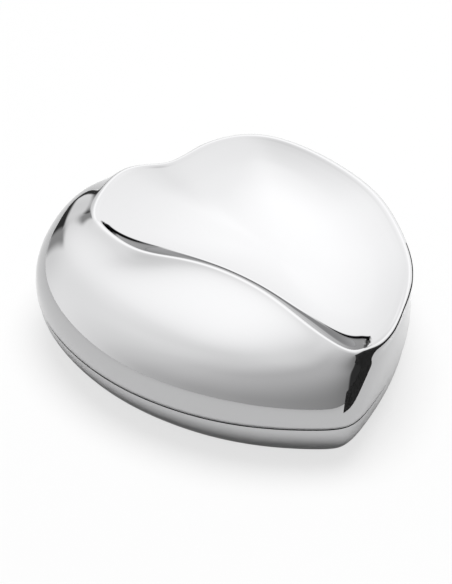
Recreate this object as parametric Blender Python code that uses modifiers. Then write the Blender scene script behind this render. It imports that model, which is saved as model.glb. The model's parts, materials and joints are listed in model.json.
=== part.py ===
"""Heart-shaped trinket box in polished steel, with a lift-off lid.

Frame: +Z up, -Y toward the tip of the heart, +Y toward the cleft, origin on
the table under the middle of the box. The lid is lowered over a collar that
stands inside the base. Dimensions below are in millimetres.
"""

import math

import bmesh
import bpy
import numpy as np

MM = 0.001
COLUMNS = 52          # points round every heart-shaped section

# Plan of the box at its widest level, right half from cleft to tip.
OUTLINE_HALF = (
    (0.0, 44.5), (5.5, 46.3), (13.0, 50.6), (24.0, 53.3), (36.0, 50.0), (46.5, 40.5),
    (51.8, 27.0), (52.0, 11.0), (48.3, -5.0), (41.3, -19.5), (31.5, -32.5),
    (20.0, -42.8), (8.5, -50.2), (0.0, -53.2),
)

# Plan of the crest round the lid's dish, clockwise from the cleft. It leaves
# the left lobe, crosses the lid in an S and runs out at the tip.
CREST = (
    (0.0, 43.0), (6.0, 44.0), (12.5, 45.0), (21.0, 44.0), (29.0, 39.5), (35.5, 30.5),
    (40.5, 18.0), (43.0, 3.5), (41.0, -11.0), (36.5, -24.0), (29.5, -34.0),
    (21.5, -41.5), (14.0, -46.0), (7.5, -47.0), (3.0, -44.5), (-0.5, -35.0),
    (-3.0, -24.0), (-6.0, -13.5), (-11.5, -2.5), (-19.0, 6.5), (-27.0, 14.5),
    (-31.0, 24.5), (-31.0, 33.0), (-25.0, 40.5), (-14.5, 46.0), (-5.5, 44.0),
)
# Rim that the bowl of the dish would have if it ran on under the S-shaped
# lip, point for point with the crest.
BOWL_RIM = (
    (0.0, 43.2), (6.0, 44.1), (12.5, 45.0), (21.0, 44.0), (29.0, 39.5), (35.5, 30.5),
    (40.5, 18.0), (43.0, 3.5), (41.0, -11.0), (36.5, -24.0), (29.5, -34.0),
    (21.5, -41.5), (14.0, -46.5), (6.5, -48.0), (0.5, -45.5), (-5.0, -38.0),
    (-9.5, -28.0), (-13.5, -18.0), (-19.0, -7.5), (-25.0, 3.5), (-30.0, 13.5),
    (-32.5, 24.5), (-31.0, 33.0), (-25.0, 40.5), (-14.5, 45.8), (-5.5, 44.2),
)

# Loop well inside the crest, point for point.
DISH_LOOP = (
    (1.5, 33.5), (6.5, 34.0), (12.0, 35.0), (19.0, 34.5), (24.0, 31.5), (28.5, 25.0),
    (31.5, 15.0), (33.0, 3.0), (31.5, -8.0), (28.0, -18.0), (23.5, -25.0),
    (19.5, -29.5), (16.0, -31.0), (13.0, -30.5), (11.0, -28.0), (9.5, -23.5),
    (8.0, -18.0), (6.0, -9.0), (1.0, 2.5), (-7.5, 11.5), (-14.5, 19.0),
    (-18.0, 25.0), (-19.0, 29.5), (-17.0, 33.0), (-12.0, 34.5), (-4.5, 33.5),
)

# Distance from the crest to the far edge of the groove, crest point by point.
GROOVE_EDGE = (
    2.6, 2.6, 2.6, 2.6, 2.6, 2.6, 2.6, 2.6, 2.6, 2.6, 2.6, 3.2, 4.6, 7.2, 9.2, 8.2, 6.5, 6.2,
    6.7, 7.7, 7.8, 3.9, 2.5, 2.6, 2.6, 2.6,
)

CREST_Z = 36.5        # crest height over the middle of the box
CREST_TILT = 0.05     # rise of the crest plane toward the cleft, per mm

SEAM_Z = 14.2         # parting line between base and lid
SEAM_GAP = 0.3
WIDEST_Z = 17.2       # height of the widest level, and the same at the tip
WIDEST_Z_TIP = 16.4
EDGE_INSET = 0.6      # the walls turn in by this much at the parting line

FOOT_Z = 0.9          # underside of the steel base
FOOT_INSET_LOBES = 15.0
FOOT_INSET_TIP = 8.0
BASE_WALL = 1.3

DISH_MIDDLE = (9.5, 3.0)
DISH_DEPTH = 6.0
GROOVE_DEPTH = 5.8
STEP_HEIGHT = 0.8     # step at the far edge of each pocket
CREST_ROLL = 1.3      # half width of the rounded crest
CEILING_DROP = 7.3    # lid's inner ceiling under the crest plane
LID_WALL = 1.5

COLLAR_INSET = 2.9
COLLAR_WALL = 0.8
COLLAR_Z = (11.2, 18.0)

LINING = 0.7
LINING_GAP = 0.35
PANEL_Z = (24.0, 24.9)
CUSHION_Z = (2.7, 7.6)
FELT = 0.6
FELT_INSET = 4.0

STEEL = ("polished_steel", (0.72, 0.73, 0.74), 0.06, 1.0)
SATIN = ("satin_steel", (0.55, 0.56, 0.57), 0.28, 1.0)
VELVET = ("grey_velvet", (0.10, 0.10, 0.11), 0.95, 0.0)
FELT_LOOK = ("black_felt", (0.03, 0.03, 0.03), 1.0, 0.0)


# ---------------------------------------------------------------- curves
def closed_spline(points, places):
    """Smooth closed curve through the points, read at places counted in points."""
    points = np.array(points, dtype=float)
    size = len(points)
    system = np.zeros((size, size))
    for row in range(size):
        system[row, row] = 4 / 6
        system[row, (row + 1) % size] = 1 / 6
        system[row, row - 1] = 1 / 6
    controls = np.linalg.solve(system, points)
    start = np.floor(places).astype(int)
    weights = spline_weights(places - start)
    if points.ndim == 2:
        weights = [weight[:, None] for weight in weights]
    return sum(weights[k] * controls[(start + k - 1) % size] for k in range(4))


def spline_weights(t):
    """Weights of four neighbouring control points of a uniform cubic spline."""
    return (
        (1 - t) ** 3 / 6,
        (3 * t ** 3 - 6 * t ** 2 + 4) / 6,
        (-3 * t ** 3 + 3 * t ** 2 + 3 * t + 1) / 6,
        t ** 3 / 6,
    )


def ease(low, high, x):
    """Rise smoothly from 0 at low to 1 at high."""
    t = np.clip((x - low) / (high - low), 0, 1)
    return t ** 3 * (t * (6 * t - 15) + 10)


def inward(curve):
    """Unit normals of a clockwise plan curve, pointing to its inside."""
    along = np.roll(curve, -1, axis=0) - np.roll(curve, 1, axis=0)
    across = np.column_stack([along[:, 1], -along[:, 0]])
    return across / np.linalg.norm(across, axis=1)[:, None]


def ring(plan, height):
    """Join plan points and a height, or one height each, into 3-D points."""
    return np.column_stack([plan, np.broadcast_to(height, (len(plan),))])


STATION = np.arange(COLUMNS) * len(CREST) / COLUMNS
OUTLINE = closed_spline(
    OUTLINE_HALF + tuple((-x, y) for x, y in reversed(OUTLINE_HALF[1:-1])), STATION
)
OUTLINE_IN = inward(OUTLINE)
RIM = closed_spline(CREST, STATION)
LOOP = closed_spline(DISH_LOOP, STATION)
BOWL = closed_spline(BOWL_RIM, np.arange(0, len(BOWL_RIM), 0.05))


def inset(distance):
    """The outline moved inward by one distance, or by one per column."""
    return OUTLINE + OUTLINE_IN * np.broadcast_to(distance, (COLUMNS,))[:, None]


def crest_plane(plan):
    """Height of the tilted plane that the crest lies in."""
    return CREST_Z + CREST_TILT * plan[:, 1]


# ---------------------------------------------------------------- sections
def toward_tip():
    """1 at the tip of the heart, falling to 0 at the cleft."""
    return (0.5 - 0.5 * np.cos(2 * np.pi * STATION / len(CREST))) ** 3


def flank(share):
    """Lid side at a share of its height: full on the left cheek, lean elsewhere."""
    cheek = ease(13, 17, STATION) * (1 - ease(23.4, 25.9, STATION))
    shoulder = np.exp(-((STATION - 23.4) / 1.2) ** 2)
    cheek = cheek + shoulder
    power = 1.5 + 1.6 * cheek
    root = 1 / (1 + cheek)
    travel = (1 - (1 - (0.96 * share) ** power) ** root) / (1 - (1 - 0.96 ** power) ** root)
    plan = OUTLINE + (RIM - OUTLINE) * travel[:, None]
    widest = WIDEST_Z + (WIDEST_Z_TIP - WIDEST_Z) * toward_tip()
    return plan, widest + (crest_plane(RIM) - 0.5 - widest) * share


def groove_share(distance):
    """Depth of the groove along the lip: blunt and slanted at the tip, pointed at the lobe."""
    start = 12.95 - 0.13 * distance
    finish = 21.7 - 0.17 * distance
    return ease(start, start + 0.28, STATION) * (1 - ease(finish, finish + 0.3, STATION))


def step_share():
    """Height of the step at the groove's far edge: highest at its two ends."""
    tip_end = 1 - ease(12.6, 16.0, STATION)
    lobe_end = ease(19.4, 21.2, STATION)
    return np.maximum(tip_end, lobe_end)


def dish_drop(plan):
    """Fall of the dish below the crest plane."""
    middle = np.array(DISH_MIDDLE)
    spot = plan - middle
    rim = BOWL - middle
    turn = np.arctan2(rim[:, 1], rim[:, 0])
    reach = np.interp(
        np.arctan2(spot[:, 1], spot[:, 0]), turn, np.linalg.norm(rim, axis=1), period=2 * np.pi
    )
    share = np.clip(np.linalg.norm(spot, axis=1) / reach, 0, 1)
    return DISH_DEPTH * (1 - share ** 2.6)


def dish_sections():
    """Control sections over the lip, through the groove and down the bowl."""
    across = LOOP - RIM
    reach = np.linalg.norm(across, axis=1)
    across = across / reach[:, None]
    overhang = np.linalg.norm(RIM - OUTLINE, axis=1)
    sharpness = 0.7 * np.exp(-((STATION - 12.9) / 0.6) ** 2)
    roll = (np.minimum(CREST_ROLL, 0.7 + 0.16 * overhang) * (1 - sharpness))[:, None]
    edge = closed_spline(GROOVE_EDGE, STATION) * (0.8 + 0.2 * ease(12.2, 12.9, STATION))
    edge = np.maximum(edge, 2.5)
    top = dish_drop(RIM + across * edge[:, None])
    foot = top + STEP_HEIGHT * step_share()
    steepness = 1 - 0.5 * ease(19.5, 21.2, STATION)
    floor = np.minimum(GROOVE_DEPTH, foot + steepness * (edge - 1.8))
    slope = np.minimum(edge - 1.9, (floor - foot) / steepness)
    rings = [
        ring(RIM - across * roll, crest_plane(RIM) - 0.6),
        ring(RIM - across * roll * 0.15, crest_plane(RIM) + 0.05),
        ring(RIM + across * 0.7, crest_plane(RIM) - 0.2 + 0.25 * groove_share(0.7)),
    ]
    steps = (
        (1.3, 0.45),
        (1.6, floor - 0.3),
        (1.85, floor),
        (edge - slope, floor - 0.15),
        (edge - 0.3, foot),
        (edge, top),
        (edge + 0.6, None),
    )
    for distance, groove_drop in steps:
        plan = RIM + across * np.broadcast_to(distance, (COLUMNS,))[:, None]
        drop = dish_drop(plan)
        groove = groove_share(distance)
        if groove_drop is not None:
            drop = drop + (groove_drop - drop) * groove
        rings.append(ring(plan, crest_plane(plan) - drop))
    for part in (0.3, 0.65, 1.0):
        plan = RIM + across * (edge + 0.6 + (reach - edge - 0.6) * part)[:, None]
        rings.append(ring(plan, crest_plane(plan) - dish_drop(plan)))
    middle = np.array(DISH_MIDDLE)
    for part in (0.82, 0.62, 0.4, 0.15):
        plan = middle + (LOOP - middle) * part
        rings.append(ring(plan, crest_plane(plan) - dish_drop(plan)))
    return rings


def smooth_rings(controls):
    """Cubic spline through the control sections, read at its knots."""
    stack = np.stack(controls)
    first = 2 * stack[:1] - stack[1:2]
    last = 2 * stack[-1:] - stack[-2:-1]
    stack = np.concatenate([first, stack, last])
    return list((stack[:-2] + 4 * stack[1:-1] + stack[2:]) / 6)


def foot_inset():
    """How far the underside curves in: least at the tip, most at the lobes."""
    return FOOT_INSET_LOBES + (FOOT_INSET_TIP - FOOT_INSET_LOBES) * toward_tip()


def base_inset(height):
    """Inset of the base's outer side at a height between foot and seam."""
    fall = (SEAM_Z - height) / (SEAM_Z - FOOT_Z)
    return EDGE_INSET + foot_inset() * (1 - math.sqrt(1 - fall ** 2))


def beside_lining(height):
    """Inset of the inner face of the base's wall lining."""
    return base_inset(height - 0.9) + BASE_WALL + LINING_GAP + LINING


# ---------------------------------------------------------------- meshes
def make_material(look):
    name, colour, roughness, metallic = look
    material = bpy.data.materials.get(name) or bpy.data.materials.new(name)
    material.use_nodes = True
    shader = material.node_tree.nodes["Principled BSDF"]
    shader.inputs["Base Color"].default_value = (*colour, 1.0)
    shader.inputs["Roughness"].default_value = roughness
    shader.inputs["Metallic"].default_value = metallic
    return material


def loft(name, rings, look, collection, carrier, capped=True):
    """Skin a list of equal rings, and cap both ends unless it is a band."""
    mesh = bpy.data.meshes.new(name)
    shape = bmesh.new()
    loops = [[shape.verts.new(point * MM) for point in points] for points in rings]
    for lower, upper in zip(loops, loops[1:]):
        for k in range(COLUMNS):
            after = (k + 1) % COLUMNS
            shape.faces.new((lower[k], lower[after], upper[after], upper[k]))
    if capped:
        shape.faces.new(loops[0])
        shape.faces.new(loops[-1])
    bmesh.ops.recalc_face_normals(shape, faces=shape.faces)
    shape.to_mesh(mesh)
    shape.free()
    mesh.shade_smooth()
    mesh.set_sharp_from_angle(angle=math.radians(50))
    mesh.materials.append(make_material(look))
    piece = bpy.data.objects.new(name, mesh)
    collection.objects.link(piece)
    piece.parent = carrier
    piece.matrix_parent_inverse = carrier.matrix_world.inverted()
    return piece


def thicken(piece, thickness):
    """Give an open band its wall, half to each side."""
    wall = piece.modifiers.new("wall", "SOLIDIFY")
    wall.thickness = thickness * MM
    wall.offset = 0.0
    wall.use_even_offset = True


# ---------------------------------------------------------------- base
def make_base_shell(collection, carrier):
    """Polished tray: rounded underside with a flat foot, open at the seam."""
    top = SEAM_Z - SEAM_GAP / 2
    floor = FOOT_Z + BASE_WALL
    outside = [ring(inset(EDGE_INSET), top)]
    inside = [ring(inset(base_inset(top) + BASE_WALL), top)]
    for fall in (0.2, 0.42, 0.62, 0.78, 0.9, 0.97):
        height = SEAM_Z - fall * (SEAM_Z - FOOT_Z)
        outside.append(ring(inset(base_inset(height)), height))
    for height in (11.5, 8.5, 6.0, 4.2, 3.0):
        inside.append(ring(inset(base_inset(height - 0.6) + BASE_WALL), height))
    flat = inset(foot_inset() + EDGE_INSET)
    outside.append(ring(flat, FOOT_Z))
    outside.append(ring(flat * 0.5, FOOT_Z))
    inside.append(ring(inset(foot_inset() + EDGE_INSET + BASE_WALL), floor))
    inside.append(ring(flat * 0.5, floor))
    return loft("base_shell", outside[::-1] + inside, STEEL, collection, carrier)


def make_base_collar(collection, carrier):
    """Upright steel band inside the base that the lid is lowered over."""
    rings = [ring(inset(COLLAR_INSET), height) for height in COLLAR_Z]
    collar = loft("base_collar", rings, SATIN, collection, carrier, capped=False)
    thicken(collar, COLLAR_WALL)


def make_base_wall_lining(collection, carrier):
    """Velvet-covered strip round the inside of the base."""
    behind_collar = COLLAR_INSET + COLLAR_WALL / 2 + LINING_GAP + LINING / 2
    rings = []
    for height in (13.6, 11.0, 8.4, 6.2, 4.4):
        beside_wall = base_inset(height - 0.9) + BASE_WALL + LINING_GAP + LINING / 2
        rings.append(ring(inset(np.maximum(behind_collar, beside_wall)), height))
    strip = loft("base_wall_lining", rings, VELVET, collection, carrier, capped=False)
    thicken(strip, LINING)


def make_base_floor_cushion(collection, carrier):
    """Velvet floor pad with a soft crown, close to the wall lining all round."""
    low, high = CUSHION_Z
    middle = OUTLINE * 0.2
    side = beside_lining(4.9)
    rings = [
        ring(middle, low),
        ring(inset(beside_lining(low) + 1.6), low),
        ring(inset(beside_lining(3.6) + 0.9), 3.6),
        ring(inset(side + 0.7), 4.9),
        ring(inset(side + 1.3), 6.0),
        ring(inset(side + 3.6), high - 0.5),
        ring(OUTLINE * 0.5, high - 0.1),
        ring(middle, high),
    ]
    loft("base_floor_cushion", rings, VELVET, collection, carrier)


def make_base_felt_pad(collection, carrier):
    """Thin felt under the foot, which the box stands on."""
    plan = inset(foot_inset() + EDGE_INSET + FELT_INSET)
    rings = [ring(plan, height) for height in (0.0, FELT)]
    loft("base_felt_pad", rings, FELT_LOOK, collection, carrier)


# ---------------------------------------------------------------- lid
def make_lid_shell(collection, carrier):
    """Polished lid: cheek, S-shaped crest, groove with two pockets, dish."""
    bottom = SEAM_Z + SEAM_GAP / 2
    controls = [ring(inset(EDGE_INSET), bottom), ring(inset(0.1), bottom + 1.0)]
    for share in (0.0, 0.2, 0.4, 0.6, 0.74, 0.84):
        controls.append(ring(*flank(share)))
    outside = smooth_rings(controls + dish_sections())

    inside = [ring(inset(EDGE_INSET + LID_WALL), bottom)]
    inside.append(ring(inset(LID_WALL + 0.4), WIDEST_Z))
    for share in (0.2, 0.4, 0.56):
        plan, height = flank(share)
        plan = plan + OUTLINE_IN * (LID_WALL + 0.3)
        height = np.minimum(height - 1.0 * share, crest_plane(plan) - CEILING_DROP - 0.4)
        inside.append(ring(plan, height))
    middle = np.array(DISH_MIDDLE)
    for part in (0.9, 0.5, 0.1):
        spot = middle + (plan - middle) * part
        inside.append(ring(spot, crest_plane(spot) - CEILING_DROP))
    return loft("lid_shell", inside[::-1] + outside, STEEL, collection, carrier)


def make_lid_wall_lining(collection, carrier):
    """Velvet-covered strip round the inside of the lid, above the collar."""
    rings = []
    for share in (0.12, 0.25, 0.39):
        plan, height = flank(share)
        height = WIDEST_Z + (PANEL_Z[0] - 0.5 - WIDEST_Z) * (share + 0.01) / 0.4
        plan = plan + OUTLINE_IN * (LID_WALL + 0.4 + LINING_GAP + LINING / 2)
        rings.append(ring(plan, height))
    strip = loft("lid_wall_lining", rings, VELVET, collection, carrier, capped=False)
    thicken(strip, LINING)


def make_lid_top_lining(collection, carrier):
    """Flat velvet-covered panel that closes the lid's hollow."""
    plan, _ = flank(0.5)
    plan = plan + OUTLINE_IN * (LID_WALL + 0.4 + LINING_GAP)
    rings = [ring(plan, height) for height in PANEL_Z]
    loft("lid_top_lining", rings, VELVET, collection, carrier)


# ---------------------------------------------------------------- build
def make_carrier(name, height, parent, collection):
    carrier = bpy.data.objects.new(name, None)
    carrier.empty_display_size = 0.01
    carrier.location.z = height * MM
    carrier.parent = parent
    collection.objects.link(carrier)
    return carrier


def main():
    for old in list(bpy.data.objects):
        bpy.data.objects.remove(old, do_unlink=True)
    collection = bpy.data.collections.new("heart_trinket_box")
    bpy.context.scene.collection.children.link(collection)
    base = make_carrier("base_carrier", 0.0, None, collection)
    lid = make_carrier("lid_carrier", SEAM_Z, base, collection)
    bpy.context.view_layer.update()

    make_base_shell(collection, base)
    make_base_collar(collection, base)
    make_base_wall_lining(collection, base)
    make_base_floor_cushion(collection, base)
    make_base_felt_pad(collection, base)
    make_lid_shell(collection, lid)
    make_lid_wall_lining(collection, lid)
    make_lid_top_lining(collection, lid)


main()
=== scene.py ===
import json
import math

import bmesh
import bpy
import numpy as np
from mathutils import Matrix, Vector

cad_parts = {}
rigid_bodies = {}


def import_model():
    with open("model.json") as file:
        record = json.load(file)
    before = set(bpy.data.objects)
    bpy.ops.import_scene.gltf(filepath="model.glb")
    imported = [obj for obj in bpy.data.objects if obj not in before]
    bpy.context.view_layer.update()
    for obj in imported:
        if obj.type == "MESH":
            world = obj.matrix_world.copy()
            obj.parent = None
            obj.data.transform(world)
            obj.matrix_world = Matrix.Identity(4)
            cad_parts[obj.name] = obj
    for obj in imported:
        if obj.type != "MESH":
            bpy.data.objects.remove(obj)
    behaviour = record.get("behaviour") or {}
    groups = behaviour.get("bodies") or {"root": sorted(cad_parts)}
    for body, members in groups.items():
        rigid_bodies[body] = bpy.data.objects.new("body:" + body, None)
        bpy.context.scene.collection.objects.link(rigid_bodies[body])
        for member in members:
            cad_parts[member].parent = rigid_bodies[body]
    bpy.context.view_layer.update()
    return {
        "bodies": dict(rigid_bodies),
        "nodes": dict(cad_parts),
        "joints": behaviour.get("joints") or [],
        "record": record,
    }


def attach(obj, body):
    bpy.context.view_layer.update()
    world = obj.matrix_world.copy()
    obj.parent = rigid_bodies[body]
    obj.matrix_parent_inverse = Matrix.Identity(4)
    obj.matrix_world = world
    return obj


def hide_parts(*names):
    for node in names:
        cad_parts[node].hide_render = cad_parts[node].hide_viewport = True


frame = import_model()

MM = 0.001
COLUMNS = 416         # points round every heart-shaped section
FINE = 5              # rings between neighbouring control sections

# Plan of the box at its widest level, right half from cleft to tip (mm).
OUTLINE_HALF = (
    (0.0, 44.5), (5.5, 46.3), (13.0, 50.6), (24.0, 53.3), (36.0, 50.0), (46.5, 40.5),
    (51.8, 27.0), (52.0, 11.0), (48.3, -5.0), (41.3, -19.5), (31.5, -32.5),
    (20.0, -42.8), (8.5, -50.2), (0.0, -53.2),
)

# Plan of the crest round the lid's dish, clockwise from the cleft.
CREST = (
    (0.0, 43.0), (6.0, 44.0), (12.5, 45.0), (21.0, 44.0), (29.0, 39.5), (35.5, 30.5),
    (40.5, 18.0), (43.0, 3.5), (41.0, -11.0), (36.5, -24.0), (29.5, -34.0),
    (21.5, -41.5), (14.0, -46.0), (7.5, -47.0), (3.0, -44.5), (-0.5, -35.0),
    (-3.0, -24.0), (-6.0, -13.5), (-11.5, -2.5), (-19.0, 6.5), (-27.0, 14.5),
    (-31.0, 24.5), (-31.0, 33.0), (-25.0, 40.5), (-14.5, 46.0), (-5.5, 44.0),
)

# Loop well inside the crest, point for point.
DISH_LOOP = (
    (1.5, 33.5), (6.5, 34.0), (12.0, 35.0), (19.0, 34.5), (24.0, 31.5), (28.5, 25.0),
    (31.5, 15.0), (33.0, 3.0), (31.5, -8.0), (28.0, -18.0), (23.5, -25.0),
    (19.5, -29.5), (16.0, -31.0), (13.0, -30.5), (11.0, -28.0), (9.5, -23.5),
    (8.0, -18.0), (6.0, -9.0), (1.0, 2.5), (-7.5, 11.5), (-14.5, 19.0),
    (-18.0, 25.0), (-19.0, 29.5), (-17.0, 33.0), (-12.0, 34.5), (-4.5, 33.5),
)

# Rim that the bowl of the dish would have if it ran on under the lip, point for point.
BOWL_RIM = (
    (0.0, 43.2), (6.0, 44.1), (12.5, 45.0), (21.0, 44.0), (29.0, 39.5), (35.5, 30.5),
    (40.5, 18.0), (43.0, 3.5), (41.0, -11.0), (36.5, -24.0), (29.5, -34.0),
    (21.5, -41.5), (14.0, -46.5), (6.5, -48.0), (0.5, -45.5), (-5.0, -38.0),
    (-9.5, -28.0), (-13.5, -18.0), (-19.0, -7.5), (-25.0, 3.5), (-30.0, 13.5),
    (-32.5, 24.5), (-31.0, 33.0), (-25.0, 40.5), (-14.5, 45.8), (-5.5, 44.2),
)

# Distance from the crest to the far edge of the groove, crest point by crest point.
GROOVE_EDGE = (
    2.6, 2.6, 2.6, 2.6, 2.6, 2.6, 2.6, 2.6, 2.6, 2.6, 2.6, 3.2, 4.6, 7.2, 9.2, 8.2, 6.5, 6.2,
    6.7, 7.7, 7.8, 3.9, 2.5, 2.6, 2.6, 2.6,
)

CREST_Z = 36.5        # crest height over the middle of the box
CREST_TILT = 0.05     # rise of the crest plane toward the cleft, per mm
SEAM_Z = 14.2         # parting line between base and lid
SEAM_GAP = 0.3
WIDEST_Z = 17.2       # height of the widest level, and the same at the tip
WIDEST_Z_TIP = 16.4
EDGE_INSET = 0.6      # the walls turn in by this much at the parting line
FOOT_Z = 0.9          # underside of the steel base
FOOT_INSET_LOBES = 15.0
FOOT_INSET_TIP = 8.0
BASE_WALL = 1.3
DISH_MIDDLE = (9.5, 3.0)
DISH_DEPTH = 6.0
GROOVE_DEPTH = 5.8
STEP_HEIGHT = 0.8     # step at the far edge of each pocket
CREST_ROLL = 1.3      # half width of the rounded crest
CEILING_DROP = 7.3    # lid's inner ceiling under the crest plane
LID_WALL = 1.5
COLLAR_INSET = 2.9
COLLAR_WALL = 0.8
COLLAR_Z = (11.2, 18.0)
LINING = 0.7
LINING_GAP = 0.35
PANEL_Z = (24.0, 24.9)
CUSHION_Z = (2.7, 7.6)
CUSHION_HELD_Z = 5.0  # the cushion's cloth is held below this height
CUSHION_CAP = 0.9     # most that the cloth may swell
FELT = 0.6
FELT_INSET = 4.0

# The cloth is simulated on a copy of the cushion at ten times its size.
CLOTH_SCALE = 10.0
CLOTH_VOXEL = 0.0011
CLOTH_PRESSURE = 0.3
CLOTH_FRAMES = 20

# Studio: sizes in metres, angles in degrees.
FLOOR_RADIUS = 0.45
CARD_RADIUS = 0.07
CARD_MIDDLE_Y = -0.045
CARD_COLUMNS = 25
OVERHEAD_PLACE = (0.1, 0.1, 1.0)
WORLD_STRENGTH = 2.5
CAMERA_AZIMUTH = -29.8
CAMERA_ELEVATION = 42.0
CAMERA_DISTANCE = 0.6
CAMERA_AIM = (-0.0073, 0.0006, 0.0240)
CAMERA_FOCAL_PIXELS = 2160.0
PICTURE_HEIGHT = 584.0


# ---------------------------------------------------------------- curves
def spline_weights(t):
    return (
        (1 - t) ** 3 / 6,
        (3 * t ** 3 - 6 * t ** 2 + 4) / 6,
        (-3 * t ** 3 + 3 * t ** 2 + 3 * t + 1) / 6,
        t ** 3 / 6,
    )


def closed_spline(points, places):
    """Smooth closed curve through the points, read at places counted in points."""
    points = np.array(points, dtype=float)
    size = len(points)
    system = np.zeros((size, size))
    for row in range(size):
        system[row, row] = 4 / 6
        system[row, (row + 1) % size] = 1 / 6
        system[row, row - 1] = 1 / 6
    controls = np.linalg.solve(system, points)
    start = np.floor(places).astype(int)
    weights = spline_weights(places - start)
    if points.ndim == 2:
        weights = [weight[:, None] for weight in weights]
    return sum(weights[k] * controls[(start + k - 1) % size] for k in range(4))


def ease(low, high, x):
    t = np.clip((x - low) / (high - low), 0, 1)
    return t ** 3 * (t * (6 * t - 15) + 10)


def inward(curve):
    along = np.roll(curve, -1, axis=0) - np.roll(curve, 1, axis=0)
    across = np.column_stack([along[:, 1], -along[:, 0]])
    return across / np.linalg.norm(across, axis=1)[:, None]


def ring(plan, height, shade=0.0):
    """Join plan points, heights and painted shades into rows of x, y, z and shade."""
    size = (len(plan),)
    return np.column_stack([plan, np.broadcast_to(height, size), np.broadcast_to(shade, size)])


def stations(count):
    """Places round the heart in crest points, closer together at the groove's ends."""
    size = len(CREST)
    fine = np.arange(0, size, 0.01)
    weight = 1 + 4 * np.exp(-((fine - 12.6) / 0.6) ** 4)
    weight = weight + 2 * np.exp(-((fine - 21.5) / 0.6) ** 2)
    travelled = np.concatenate([[0], np.cumsum(weight)])
    return np.interp(np.arange(count) / count * travelled[-1], travelled, np.append(fine, size))


STATION = stations(COLUMNS)
OUTLINE = closed_spline(
    OUTLINE_HALF + tuple((-x, y) for x, y in reversed(OUTLINE_HALF[1:-1])), STATION
)
OUTLINE_IN = inward(OUTLINE)
RIM = closed_spline(CREST, STATION)
LOOP = closed_spline(DISH_LOOP, STATION)
BOWL = closed_spline(BOWL_RIM, np.arange(0, len(BOWL_RIM), 0.05))


def inset(distance):
    """The outline moved inward by one distance, or by one per column."""
    return OUTLINE + OUTLINE_IN * np.broadcast_to(distance, (COLUMNS,))[:, None]


def crest_plane(plan):
    """Height of the tilted plane that the crest lies in."""
    return CREST_Z + CREST_TILT * plan[:, 1]


# ---------------------------------------------------------------- sections
def toward_tip():
    """1 at the tip of the heart, falling to 0 at the cleft."""
    return (0.5 - 0.5 * np.cos(2 * np.pi * STATION / len(CREST))) ** 3


def flank(share):
    """Lid side at a share of its height: full on the left cheek, lean elsewhere."""
    cheek = ease(13, 17, STATION) * (1 - ease(23.4, 25.9, STATION))
    shoulder = np.exp(-((STATION - 23.4) / 1.2) ** 2)
    cheek = cheek + shoulder
    power = 1.5 + 1.6 * cheek
    root = 1 / (1 + cheek)
    travel = (1 - (1 - (0.96 * share) ** power) ** root) / (1 - (1 - 0.96 ** power) ** root)
    plan = OUTLINE + (RIM - OUTLINE) * travel[:, None]
    widest = WIDEST_Z + (WIDEST_Z_TIP - WIDEST_Z) * toward_tip()
    return plan, widest + (crest_plane(RIM) - 0.5 - widest) * share


def groove_ends(distance):
    """Crest places of the groove's two ends, at a distance inward from the crest."""
    return 12.95 - 0.13 * distance, 21.7 - 0.17 * distance


def groove_share(distance):
    """Depth of the groove along the lip: blunt and slanted at the tip, pointed at the lobe."""
    start, finish = groove_ends(distance)
    return ease(start, start + 0.28, STATION) * (1 - ease(finish, finish + 0.3, STATION))


def painted_end_shade(distance):
    """Painted shade: the steel colour darkened to near black on the groove's two end walls."""
    start, finish = groove_ends(distance)
    # painted shade across each end wall, softened a little past its edges
    tip = ease(start - 0.04, start + 0.04, STATION) * (1 - ease(start + 0.26, start + 0.4, STATION))
    lobe = ease(finish - 0.05, finish, STATION)
    lobe = lobe * (1 - ease(finish + 0.26, finish + 0.32, STATION))
    return tip + lobe


def step_share():
    """Height of the step at the groove's far edge: highest at its two ends."""
    tip_end = 1 - ease(12.6, 16.0, STATION)
    lobe_end = ease(19.4, 21.2, STATION)
    return np.maximum(tip_end, lobe_end)


def dish_drop(plan):
    """Fall of the dish below the crest plane."""
    middle = np.array(DISH_MIDDLE)
    spot = plan - middle
    rim = BOWL - middle
    turn = np.arctan2(rim[:, 1], rim[:, 0])
    reach = np.interp(
        np.arctan2(spot[:, 1], spot[:, 0]), turn, np.linalg.norm(rim, axis=1), period=2 * np.pi
    )
    share = np.clip(np.linalg.norm(spot, axis=1) / reach, 0, 1)
    return DISH_DEPTH * (1 - share ** 2.6)


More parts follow.
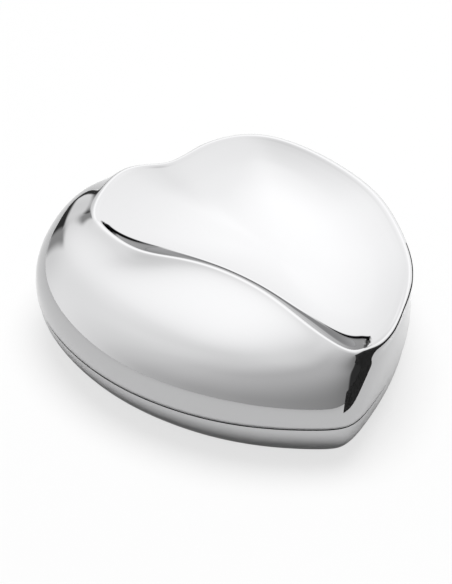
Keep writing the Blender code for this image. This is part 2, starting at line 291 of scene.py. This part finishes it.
def dish_sections():
    """Rings over the lip, through the groove and down the bowl, with a painted shade for each point."""
    across = LOOP - RIM
    reach = np.linalg.norm(across, axis=1)
    across = across / reach[:, None]
    overhang = np.linalg.norm(RIM - OUTLINE, axis=1)
    sharpness = 0.7 * np.exp(-((STATION - 12.9) / 0.6) ** 2)
    roll = (np.minimum(CREST_ROLL, 0.7 + 0.16 * overhang) * (1 - sharpness))[:, None]
    edge = closed_spline(GROOVE_EDGE, STATION) * (0.8 + 0.2 * ease(12.2, 12.9, STATION))
    edge = np.maximum(edge, 2.5)
    step = STEP_HEIGHT * step_share()
    # strength of the painted shadow line along the step, strongest at the groove's two ends
    line = step_share() ** 0.5
    top = dish_drop(RIM + across * edge[:, None])
    foot = top + step
    steepness = 1 - 0.5 * ease(19.5, 21.2, STATION)
    floor = np.minimum(GROOVE_DEPTH, foot + steepness * (edge - 1.8))
    slope = np.minimum(edge - 1.9, (floor - foot) / steepness)
    rings = [
        ring(RIM - across * roll, crest_plane(RIM) - 0.6),
        ring(RIM - across * roll * 0.15, crest_plane(RIM) + 0.05),
        ring(RIM + across * 0.7, crest_plane(RIM) - 0.26 + 0.31 * groove_share(0.7)),
    ]
    # each step: distance in from the crest, groove height there, and painted shade (half dark on the
    # groove floor, near black along the step as a painted shadow line)
    steps = (
        (1.3, 0.45, 0.0),
        (1.5, floor * 0.4, 0.2),
        (1.6, floor - 0.3, 0.5),
        (1.85, floor, 0.5),
        (edge - slope, floor - 0.15, 0.5),
        (edge - slope / 2, (floor + foot) / 2, 0.25),
        (edge - 0.3, foot, 0.05),
        (edge - 0.2, foot, 1.0),
        (edge - 0.1, foot - (foot - top) * 0.3, 1.0),
        (edge, top + 0.05, 1.0),
        (edge + 0.1, top, 0.0),
        (edge + 0.6, None, 0.0),
    )
    for distance, groove_drop, shade in steps:
        plan = RIM + across * np.broadcast_to(distance, (COLUMNS,))[:, None]
        drop = dish_drop(plan)
        groove = groove_share(distance)
        if groove_drop is not None:
            drop = drop + (groove_drop - drop) * groove
        # painted shade: the step line scaled by the line strength, the groove floor by the groove's
        # depth, and the end walls painted black
        strength = groove * line if shade == 1.0 else groove
        end = painted_end_shade(distance) if shade > 0 else 0.0
        rings.append(ring(plan, crest_plane(plan) - drop, np.maximum(shade * strength, end)))
    for part in (0.3, 0.65, 1.0):
        plan = RIM + across * (edge + 0.6 + (reach - edge - 0.6) * part)[:, None]
        rings.append(ring(plan, crest_plane(plan) - dish_drop(plan)))
    middle = np.array(DISH_MIDDLE)
    for part in (0.82, 0.62, 0.4, 0.15):
        plan = middle + (LOOP - middle) * part
        rings.append(ring(plan, crest_plane(plan) - dish_drop(plan)))
    return rings


def smooth_rings(controls, fine):
    """Cubic spline through the control sections, with fine rings to each span."""
    stack = np.stack(controls)
    stack = np.concatenate([2 * stack[:1] - stack[1:2], stack, 2 * stack[-1:] - stack[-2:-1]])
    rings = []
    for start in range(len(stack) - 3):
        for step in range(fine):
            weights = spline_weights(step / fine)
            rings.append(sum(weights[k] * stack[start + k] for k in range(4)))
    rings.append((stack[-3] + 4 * stack[-2] + stack[-1]) / 6)
    return rings


def foot_inset():
    """How far the underside curves in: least at the tip, most at the lobes."""
    return FOOT_INSET_LOBES + (FOOT_INSET_TIP - FOOT_INSET_LOBES) * toward_tip()


def base_inset(height):
    """Inset of the base's outer side at a height between foot and seam."""
    fall = min(1.0, (SEAM_Z - height) / (SEAM_Z - FOOT_Z))
    return EDGE_INSET + foot_inset() * (1 - math.sqrt(1 - fall ** 2))


def beside_lining(height):
    """Inset of the inner face of the base's wall lining."""
    return base_inset(height - 0.9) + BASE_WALL + LINING_GAP + LINING


# ---------------------------------------------------------------- nodes
class Nodes:
    """Short helper for building node trees."""

    def __init__(self, tree):
        self.tree = tree
        tree.nodes.clear()

    def add(self, kind, **settings):
        node = self.tree.nodes.new(kind)
        for name, value in settings.items():
            setattr(node, name, value)
        return node

    def link(self, source, target):
        self.tree.links.new(source, target)

    def put(self, socket, value):
        if isinstance(value, bpy.types.NodeSocket):
            self.link(value, socket)
        else:
            socket.default_value = value

    def math(self, operation, a, b=0.0, clamp=False):
        node = self.add("ShaderNodeMath", operation=operation, use_clamp=clamp)
        self.put(node.inputs[0], a)
        self.put(node.inputs[1], b)
        return node.outputs[0]

    def step(self, value, low, high):
        node = self.add("ShaderNodeMapRange", interpolation_type="SMOOTHSTEP")
        node.inputs["From Min"].default_value = low
        node.inputs["From Max"].default_value = high
        self.put(node.inputs["Value"], value)
        return node.outputs["Result"]

    def mix(self, share, a, b):
        node = self.add("ShaderNodeMix", data_type="RGBA")
        self.put(node.inputs["Factor"], share)
        self.put(node.inputs[6], a)
        self.put(node.inputs[7], b)
        return node.outputs[2]

    def noise(self, vector, scale, detail=4.0, roughness=0.5):
        node = self.add("ShaderNodeTexNoise")
        self.put(node.inputs["Vector"], vector)
        node.inputs["Scale"].default_value = scale
        node.inputs["Detail"].default_value = detail
        node.inputs["Roughness"].default_value = roughness
        return node.outputs["Fac"]


def new_material(name):
    """Material with an empty node tree, its shader, and object coordinates."""
    material = bpy.data.materials.new(name)
    material.use_nodes = True
    nodes = Nodes(material.node_tree)
    shader = nodes.add("ShaderNodeBsdfPrincipled")
    output = nodes.add("ShaderNodeOutputMaterial")
    nodes.link(shader.outputs[0], output.inputs[0])
    place = nodes.add("ShaderNodeTexCoord").outputs["Object"]
    return material, nodes, shader, place


def polished_steel():
    """Mirror-polished steel with faint haze, its colour darkened to near black as painted shade where the
    mesh's shade attribute says so.
    """
    material, nodes, shader, place = new_material("polished_steel")
    shader.inputs["Metallic"].default_value = 1.0
    # painted shade: the steel colour is mixed toward near black by the shade attribute, for the dark
    # groove line, groove floor and pocket end walls
    shade = nodes.add("ShaderNodeAttribute", attribute_name="shade").outputs["Fac"]
    colour = nodes.mix(shade, (0.5, 0.5, 0.505, 1.0), (0.015, 0.015, 0.016, 1.0))
    nodes.put(shader.inputs["Base Color"], colour)
    haze = nodes.noise(place, 45.0, 3.0)
    grain = nodes.noise(place, 900.0, 2.0)
    rough = nodes.math("MULTIPLY_ADD", haze, 0.02)
    rough.node.inputs[2].default_value = 0.02
    nodes.put(shader.inputs["Roughness"], rough)
    bump = nodes.add("ShaderNodeBump")
    bump.inputs["Strength"].default_value = 0.01
    bump.inputs["Distance"].default_value = 0.00002
    nodes.link(grain, bump.inputs["Height"])
    nodes.link(bump.outputs[0], shader.inputs["Normal"])
    return material


def satin_steel():
    """Collar: steel left satin, with fine marks drawn round it."""
    material, nodes, shader, place = new_material("satin_steel")
    shader.inputs["Metallic"].default_value = 1.0
    stretch = nodes.add("ShaderNodeMapping")
    stretch.inputs["Scale"].default_value = (60.0, 60.0, 6000.0)
    nodes.link(place, stretch.inputs["Vector"])
    marks = nodes.noise(stretch.outputs[0], 1.0, 3.0)
    nodes.put(shader.inputs["Base Color"], nodes.mix(marks, (0.46, 0.46, 0.47, 1), (0.58, 0.58, 0.59, 1)))
    rough = nodes.math("MULTIPLY_ADD", marks, 0.15)
    rough.node.inputs[2].default_value = 0.2
    nodes.put(shader.inputs["Roughness"], rough)
    bump = nodes.add("ShaderNodeBump")
    bump.inputs["Strength"].default_value = 0.25
    bump.inputs["Distance"].default_value = 0.00005
    nodes.link(marks, bump.inputs["Height"])
    nodes.link(bump.outputs[0], shader.inputs["Normal"])
    return material


def velvet():
    """Short-pile grey velvet: dark face, pale sheen at grazing angles, brushed patches."""
    material, nodes, shader, place = new_material("grey_velvet")
    pile = nodes.noise(place, 3500.0, 2.0)
    brushed = nodes.noise(place, 70.0, 3.0, 0.6)
    shade = nodes.math("MULTIPLY_ADD", pile, 0.45)
    nodes.put(shade.node.inputs[2], nodes.math("MULTIPLY", brushed, 0.55))
    nodes.put(shader.inputs["Base Color"], nodes.mix(shade, (0.11, 0.11, 0.12, 1), (0.3, 0.3, 0.315, 1)))
    shader.inputs["Roughness"].default_value = 1.0
    shader.inputs["Specular IOR Level"].default_value = 0.1
    shader.inputs["Sheen Weight"].default_value = 0.25
    shader.inputs["Sheen Roughness"].default_value = 0.5
    bump = nodes.add("ShaderNodeBump")
    bump.inputs["Strength"].default_value = 0.6
    bump.inputs["Distance"].default_value = 0.0002
    nodes.link(pile, bump.inputs["Height"])
    nodes.link(bump.outputs[0], shader.inputs["Normal"])
    return material


def felt():
    """Black pressed felt with loose pale fibres."""
    material, nodes, shader, place = new_material("black_felt")
    fibres = nodes.noise(place, 1800.0, 5.0, 0.7)
    colour = nodes.mix(fibres, (0.008, 0.008, 0.009, 1), (0.07, 0.07, 0.075, 1))
    nodes.put(shader.inputs["Base Color"], colour)
    shader.inputs["Roughness"].default_value = 1.0
    shader.inputs["Sheen Weight"].default_value = 0.3
    bump = nodes.add("ShaderNodeBump")
    bump.inputs["Strength"].default_value = 0.7
    bump.inputs["Distance"].default_value = 0.0002
    nodes.link(fibres, bump.inputs["Height"])
    nodes.link(bump.outputs[0], shader.inputs["Normal"])
    return material


# ---------------------------------------------------------------- meshes
def loft(name, rings, material, body, node, band=False):
    """Skin rings of COLUMNS points. A band joins its last ring to its first."""
    rings = [np.asarray(points) for points in rings]
    if band:
        rings = rings + rings[:1]
    count = len(rings) - 1 if band else len(rings)
    points = np.concatenate(rings[:count])
    painted_shades = points[:, 3]
    points = points[:, :3] * MM
    faces = []
    for k in range(len(rings) - 1):
        low = k * COLUMNS
        high = (k + 1) % count * COLUMNS
        for c in range(COLUMNS):
            d = (c + 1) % COLUMNS
            faces.append((low + c, low + d, high + d, high + c))
    if not band:
        faces.append(tuple(range(COLUMNS)))
        faces.append(tuple(range((count - 1) * COLUMNS, count * COLUMNS)))
    mesh = bpy.data.meshes.new(name)
    mesh.from_pydata(points.tolist(), [], faces)
    # painted shade for the steel's colour is stored in the shade attribute
    mesh.attributes.new("shade", "FLOAT", "POINT").data.foreach_set("value", painted_shades)
    shape = bmesh.new()
    shape.from_mesh(mesh)
    bmesh.ops.recalc_face_normals(shape, faces=shape.faces)
    shape.to_mesh(mesh)
    shape.free()
    mesh.shade_smooth()
    mesh.set_sharp_from_angle(angle=math.radians(45))
    mesh.materials.append(material)
    piece = bpy.data.objects.new(name, mesh)
    bpy.context.scene.collection.objects.link(piece)
    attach(piece, body)
    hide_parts(node)
    return piece


def make_lid_shell(material):
    """Polished lid: cheek, S-shaped crest, groove with two pockets, dish."""
    bottom = SEAM_Z + SEAM_GAP / 2
    controls = [ring(inset(EDGE_INSET), bottom), ring(inset(0.1), bottom + 1.0)]
    for share in (0.0, 0.2, 0.4, 0.6, 0.74, 0.84):
        controls.append(ring(*flank(share)))
    outside = smooth_rings(controls + dish_sections(), FINE)
    inside = [ring(inset(EDGE_INSET + LID_WALL), bottom)]
    inside.append(ring(inset(LID_WALL + 0.4), WIDEST_Z))
    for share in (0.2, 0.4, 0.56):
        plan, height = flank(share)
        plan = plan + OUTLINE_IN * (LID_WALL + 0.3)
        height = np.minimum(height - 1.0 * share, crest_plane(plan) - CEILING_DROP - 0.4)
        inside.append(ring(plan, height))
    middle = np.array(DISH_MIDDLE)
    for part in (0.9, 0.5, 0.1):
        spot = middle + (plan - middle) * part
        inside.append(ring(spot, crest_plane(spot) - CEILING_DROP))
    return loft("lid_polished_shell", inside[::-1] + outside, material,
                "lid", "lid_shell")


def make_base_shell(material):
    """Polished tray with a rounded underside and a flat foot."""
    top = SEAM_Z - SEAM_GAP / 2
    floor = FOOT_Z + BASE_WALL
    outside = []
    for k in range(31):
        height = top - (top - FOOT_Z) * math.sin(math.pi / 2 * k / 30)
        outside.append(ring(inset(base_inset(height)), height))
    flat = inset(foot_inset() + EDGE_INSET)
    outside.append(ring(flat * 0.5, FOOT_Z))
    inside = [ring(inset(base_inset(top) + BASE_WALL), top)]
    for height in (11.5, 8.5, 6.0, 4.2, 3.0):
        inside.append(ring(inset(base_inset(height - 0.6) + BASE_WALL), height))
    inside.append(ring(inset(foot_inset() + EDGE_INSET + BASE_WALL), floor))
    inside.append(ring(flat * 0.5, floor))
    return loft("base_polished_tray", outside[::-1] + inside, material,
                "base", "base_shell")


def wall_strip(middle_rings, thickness):
    """Closed section of a strip: down its outer side and up its inner side."""
    outer = [ring(plan - OUTLINE_IN * thickness / 2, height) for plan, height in middle_rings]
    inner = [ring(plan + OUTLINE_IN * thickness / 2, height) for plan, height in middle_rings]
    return outer + inner[::-1]


def make_collar(material):
    """Collar inside the base that the lid is lowered over."""
    heights = (COLLAR_Z[0], COLLAR_Z[0] + 0.2, COLLAR_Z[1] - 0.25, COLLAR_Z[1])
    shapes = [(inset(COLLAR_INSET), height) for height in heights]
    return loft("base_locating_collar", wall_strip(shapes, COLLAR_WALL), material,
                "base", "base_collar", band=True)


def make_base_wall_lining(material):
    """Velvet strip round the inside of the tray."""
    behind = COLLAR_INSET + COLLAR_WALL / 2 + LINING_GAP + LINING / 2
    shapes = []
    for height in (13.6, 12.0, 10.0, 8.4, 7.2, 6.2, 5.2, 4.4):
        beside = base_inset(height - 0.9) + BASE_WALL + LINING_GAP + LINING / 2
        shapes.append((inset(np.maximum(behind, beside)), height))
    return loft("base_velvet_wall", wall_strip(shapes, LINING), material,
                "base", "base_wall_lining", band=True)


def make_lid_wall_lining(material):
    """Velvet strip round the inside of the lid."""
    shapes = []
    for share in (0.12, 0.18, 0.25, 0.32, 0.39):
        plan, _ = flank(share)
        height = WIDEST_Z + (PANEL_Z[0] - 0.5 - WIDEST_Z) * (share + 0.01) / 0.4
        shapes.append((plan + OUTLINE_IN * (LID_WALL + 0.4 + LINING_GAP + LINING / 2), height))
    return loft("lid_velvet_wall", wall_strip(shapes, LINING), material,
                "lid", "lid_wall_lining", band=True)


def make_lid_top_lining(material):
    """Velvet panel under the lid's ceiling."""
    plan, _ = flank(0.5)
    plan = plan + OUTLINE_IN * (LID_WALL + 0.4 + LINING_GAP)
    low, high = PANEL_Z
    shapes = [ring(plan * 0.5, low), ring(plan * 0.97, low), ring(plan, low + 0.25),
              ring(plan, high), ring(plan * 0.5, high)]
    return loft("lid_velvet_panel", shapes, material, "lid", "lid_top_lining")


def evaluated(piece):
    """The piece as its modifiers leave it."""
    return piece.evaluated_get(bpy.context.evaluated_depsgraph_get())


def cloth_swell(source, held_below, cap):
    """Blow a closed pad up by cloth simulation, held round its foot and capped in mm."""
    large = CLOTH_SCALE
    work = bpy.data.objects.new("pad_work", source.data.copy())
    bpy.context.scene.collection.objects.link(work)
    work.data.transform(Matrix.Scale(large, 4))
    remesh = work.modifiers.new("even", "REMESH")
    remesh.mode = "VOXEL"
    remesh.voxel_size = CLOTH_VOXEL * large
    even = bpy.data.meshes.new_from_object(evaluated(work))
    work.modifiers.clear()
    work.data = even
    count = len(even.vertices)
    start = np.empty(count * 3)
    even.vertices.foreach_get("co", start)
    start = start.reshape(-1, 3)
    held = work.vertex_groups.new(name="held")
    held.add([k for k in range(count) if start[k, 2] < held_below * MM * large], 1.0, "REPLACE")
    cloth = work.modifiers.new("cloth", "CLOTH")
    cloth.settings.quality = 6
    cloth.settings.vertex_group_mass = "held"
    cloth.settings.use_pressure = True
    cloth.settings.uniform_pressure_force = CLOTH_PRESSURE
    cloth.settings.shrink_min = -0.035
    cloth.settings.bending_stiffness = 0.15
    cloth.settings.effector_weights.gravity = 0.0
    cloth.collision_settings.use_collision = False
    for frame in range(1, CLOTH_FRAMES + 1):
        bpy.context.scene.frame_set(frame)
    swollen = evaluated(work).to_mesh()
    end = np.empty(count * 3)
    swollen.vertices.foreach_get("co", end)
    move = end.reshape(-1, 3) - start
    length = np.linalg.norm(move, axis=1)
    limit = cap * MM * large
    move *= (limit * np.tanh(length / limit) / np.maximum(length, 1e-9))[:, None]
    work.modifiers.clear()
    bpy.context.scene.frame_set(1)
    even.vertices.foreach_set("co", (start + move).ravel())
    smooth = work.modifiers.new("smooth", "SUBSURF")
    smooth.levels = 1
    final = bpy.data.meshes.new_from_object(evaluated(work))
    final.transform(Matrix.Scale(1 / large, 4))
    final.shade_smooth()
    final.name = source.data.name
    bpy.data.objects.remove(work)
    if not final.materials:
        final.materials.append(source.data.materials[0])
    source.data = final


def make_cushion(material):
    """Padded velvet cushion on the floor of the tray."""
    low, high = CUSHION_Z
    middle = OUTLINE * 0.2
    side = beside_lining(4.9)
    controls = [
        ring(middle, low),
        ring(inset(beside_lining(low) + 1.6), low),
        ring(inset(beside_lining(3.6) + 0.9), 3.6),
        ring(inset(side + 0.6), 4.8),
        ring(inset(side + 1.0), 5.7),
        ring(inset(side + 3.6), high - 1.2),
        ring(OUTLINE * 0.5, high - 0.8),
        ring(middle, high - 0.7),
    ]
    piece = loft("base_velvet_cushion", smooth_rings(controls, 3), material,
                 "base", "base_floor_cushion")
    cloth_swell(piece, CUSHION_HELD_Z, CUSHION_CAP)
    return piece


def make_felt(material):
    """Felt under the foot."""
    plan = inset(foot_inset() + EDGE_INSET + FELT_INSET)
    shapes = [ring(plan * 0.5, 0.0), ring(plan, 0.0), ring(plan, FELT), ring(plan * 0.5, FELT)]
    return loft("base_felt", shapes, material, "base", "base_felt_pad")


# ---------------------------------------------------------------- studio
def make_floor():
    """Pale floor under the box, which fades to white for the camera."""
    bpy.ops.mesh.primitive_circle_add(vertices=96, radius=FLOOR_RADIUS, fill_type="NGON")
    floor = bpy.context.object
    floor.name = "studio_floor"
    material, nodes, shader, place = new_material("studio_floor")
    shader.inputs["Base Color"].default_value = (0.72, 0.72, 0.72, 1)
    shader.inputs["Roughness"].default_value = 1.0
    shader.inputs["Specular IOR Level"].default_value = 0.0
    white = nodes.add("ShaderNodeEmission")
    blend = nodes.add("ShaderNodeMixShader")
    seen = nodes.add("ShaderNodeLightPath").outputs["Is Camera Ray"]
    distance = nodes.add("ShaderNodeVectorMath", operation="LENGTH")
    nodes.link(place, distance.inputs[0])
    fade = nodes.step(distance.outputs["Value"], 0.1, 0.3)
    veil = nodes.math("MULTIPLY_ADD", fade, 0.3)
    veil.node.inputs[2].default_value = 0.7
    nodes.put(blend.inputs[0], nodes.math("MULTIPLY", seen, veil))
    nodes.link(shader.outputs[0], blend.inputs[1])
    nodes.link(white.outputs[0], blend.inputs[2])
    nodes.link(blend.outputs[0], nodes.tree.nodes["Material Output"].inputs[0])
    floor.data.materials.append(material)


def make_world():
    """Tent light by direction: bright above and behind, greyer in front, two dark flags.

    The camera sees it white and the floor and cloth get an even grey; only the
    steel shows the flags.
    """
    world = bpy.data.worlds.new("studio")
    bpy.context.scene.world = world
    world.use_nodes = True
    nodes = Nodes(world.node_tree)
    direction = nodes.add("ShaderNodeTexCoord").outputs["Generated"]
    split = nodes.add("ShaderNodeSeparateXYZ")
    nodes.link(direction, split.inputs[0])
    x, y, z = split.outputs
    degrees = 180 / math.pi
    lift = nodes.math("MULTIPLY", nodes.math("ARCSINE", z), degrees)
    front = nodes.math("MULTIPLY", nodes.math("ARCTAN2", x, nodes.math("MULTIPLY", y, -1.0)), degrees)
    rear = nodes.math("MULTIPLY", nodes.math("ARCTAN2", nodes.math("MULTIPLY", x, -1.0), y), degrees)

    def panel(turn, left, right, low, high, side=2.0, end=2.0):
        """Share of a panel between two azimuths and two elevations, with soft edges."""
        share = nodes.step(turn, left - side, left + side)
        share = nodes.math("MULTIPLY", share, nodes.step(turn, right + side, right - side))
        share = nodes.math("MULTIPLY", share, nodes.step(lift, low - end, low + end))
        return nodes.math("MULTIPLY", share, nodes.step(lift, high + end, high - end))

    def grey(value):
        """Grey of a given brightness once the world's strength has been applied."""
        level = value / WORLD_STRENGTH
        return (level, level, level, 1.0)

    turn = nodes.math("MULTIPLY_ADD", front, 1 / 360)
    turn.node.inputs[2].default_value = 0.5

    def sky(stops):
        """Brightness round the horizon, from pairs of azimuth and value."""
        ramp = nodes.add("ShaderNodeValToRGB")
        nodes.link(turn, ramp.inputs[0])
        ramp.color_ramp.interpolation = "CARDINAL"
        points = ramp.color_ramp.elements
        while len(points) < len(stops):
            points.new(0.5)
        for point, (angle, value) in zip(points, stops):
            point.position = angle / 360 + 0.5
            point.color = grey(value)
        return ramp.outputs[0]

    low = sky((
        (-180, 1.15), (-150, 1.2), (-133, 1.42), (-118, 1.38), (-103, 1.16), (-88, 0.88), (-70, 0.7),
        (-48, 0.6), (-30, 0.51), (-12, 0.39), (10, 0.35), (60, 0.5), (90, 1.5), (130, 1.65),
        (160, 1.4), (180, 1.15),
    ))
    middle = sky((
        (-180, 1.85), (-160, 1.68), (-140, 1.47), (-120, 1.37), (-103, 1.2), (-88, 1.04), (-70, 0.92),
        (-45, 0.82), (-15, 0.85), (20, 1.2), (60, 1.5), (100, 1.6), (130, 1.75), (150, 2.0), (180, 1.85),
    ))
    high = nodes.mix(nodes.step(x, -0.25, 0.25), grey(1.2), grey(1.56))
    light = nodes.mix(nodes.step(lift, 8, 55), low, middle)
    light = nodes.mix(nodes.step(lift, 56, 84), light, high)
    leaning = nodes.math("MULTIPLY_ADD", lift, 0.37)
    nodes.put(leaning.node.inputs[2], front)
    light = nodes.mix(panel(leaning, 3, 105, -30, 34, 2, 3), light, grey(0.05))
    under = nodes.math("MULTIPLY_ADD", rear, -1.1)
    nodes.put(under.node.inputs[2], lift)
    near = nodes.math("MULTIPLY", panel(rear, 10, 22, -3, 30, 4, 5), nodes.step(under, 13, 5))
    light = nodes.mix(near, light, grey(0.45))
    far = nodes.math("MULTIPLY", panel(rear, -22, 12, -3, 18, 2, 1), nodes.step(under, 8, 4))
    slot = nodes.math("MAXIMUM", far, panel(rear, -22, 0, -4, 1, 2, 1))
    light = nodes.mix(slot, light, grey(0.05))

    path = nodes.add("ShaderNodeLightPath")
    light = nodes.mix(path.outputs["Is Diffuse Ray"], light, grey(0.3))
    light = nodes.mix(path.outputs["Is Camera Ray"], light, grey(1.0))
    shader = nodes.add("ShaderNodeBackground")
    nodes.link(light, shader.inputs["Color"])
    shader.inputs["Strength"].default_value = WORLD_STRENGTH
    output = nodes.add("ShaderNodeOutputWorld")
    nodes.link(shader.outputs[0], output.inputs[0])


def make_flag():
    """Low black card in front and to the right, seen only in the steel."""
    count = CARD_COLUMNS
    points = []
    for low, high in ((0.0035, 0.012), (0.032, 0.042)):
        for k in range(count):
            turn = math.radians(-2 + 124 * k / (count - 1))
            height = low + (high - low) * min(max((math.degrees(turn) - 50) / 45, 0), 1)
            across = CARD_RADIUS * math.sin(turn)
            points.append((across, CARD_MIDDLE_Y - CARD_RADIUS * math.cos(turn), height))
    faces = [(k, k + 1, k + 1 + count, k + count) for k in range(count - 1)]
    mesh = bpy.data.meshes.new("black_card")
    mesh.from_pydata(points, [], faces)
    card = bpy.data.objects.new("black_card", mesh)
    bpy.context.scene.collection.objects.link(card)
    material, _, shader, _ = new_material("black_card")
    shader.inputs["Base Color"].default_value = (0.03, 0.03, 0.03, 1)
    shader.inputs["Roughness"].default_value = 1.0
    mesh.materials.append(material)
    card.visible_camera = False
    card.visible_diffuse = False
    card.visible_shadow = False


def make_overhead():
    """Large soft light over the box. It lights the floor and cloth, not the mirror."""
    data = bpy.data.lights.new("overhead", "AREA")
    data.shape = "DISK"
    data.size = 0.7
    data.energy = 11.5
    light = bpy.data.objects.new("overhead", data)
    light.location = OVERHEAD_PLACE
    light.rotation_euler = Vector(OVERHEAD_PLACE).to_track_quat("Z", "Y").to_euler()
    light.visible_glossy = False
    bpy.context.scene.collection.objects.link(light)


def make_camera():
    """Camera in front of the box, a little to the left of its tip and looking down."""
    data = bpy.data.cameras.new("camera")
    camera = bpy.data.objects.new("camera", data)
    bpy.context.scene.collection.objects.link(camera)
    azimuth = math.radians(CAMERA_AZIMUTH)
    elevation = math.radians(CAMERA_ELEVATION)
    back = Vector((
        math.sin(azimuth) * math.cos(elevation),
        -math.cos(azimuth) * math.cos(elevation),
        math.sin(elevation),
    ))
    camera.location = Vector(CAMERA_AIM) + back * CAMERA_DISTANCE
    camera.rotation_mode = "QUATERNION"
    camera.rotation_quaternion = (-back).to_track_quat("-Z", "Y")
    data.sensor_width = 36.0
    data.lens = CAMERA_FOCAL_PIXELS * data.sensor_width / PICTURE_HEIGHT
    data.clip_start = 0.01
    data.clip_end = 20.0
    bpy.context.scene.camera = camera


# ---------------------------------------------------------------- scene
steel = polished_steel()
satin = satin_steel()
cloth = velvet()
pad = felt()
make_lid_shell(steel)
make_base_shell(steel)
make_collar(satin)
make_base_wall_lining(cloth)
make_lid_wall_lining(cloth)
make_lid_top_lining(cloth)
make_cushion(cloth)
make_felt(pad)
make_floor()
make_world()
make_overhead()
make_flag()
make_camera()

bpy.context.scene.view_settings.view_transform = "Standard"
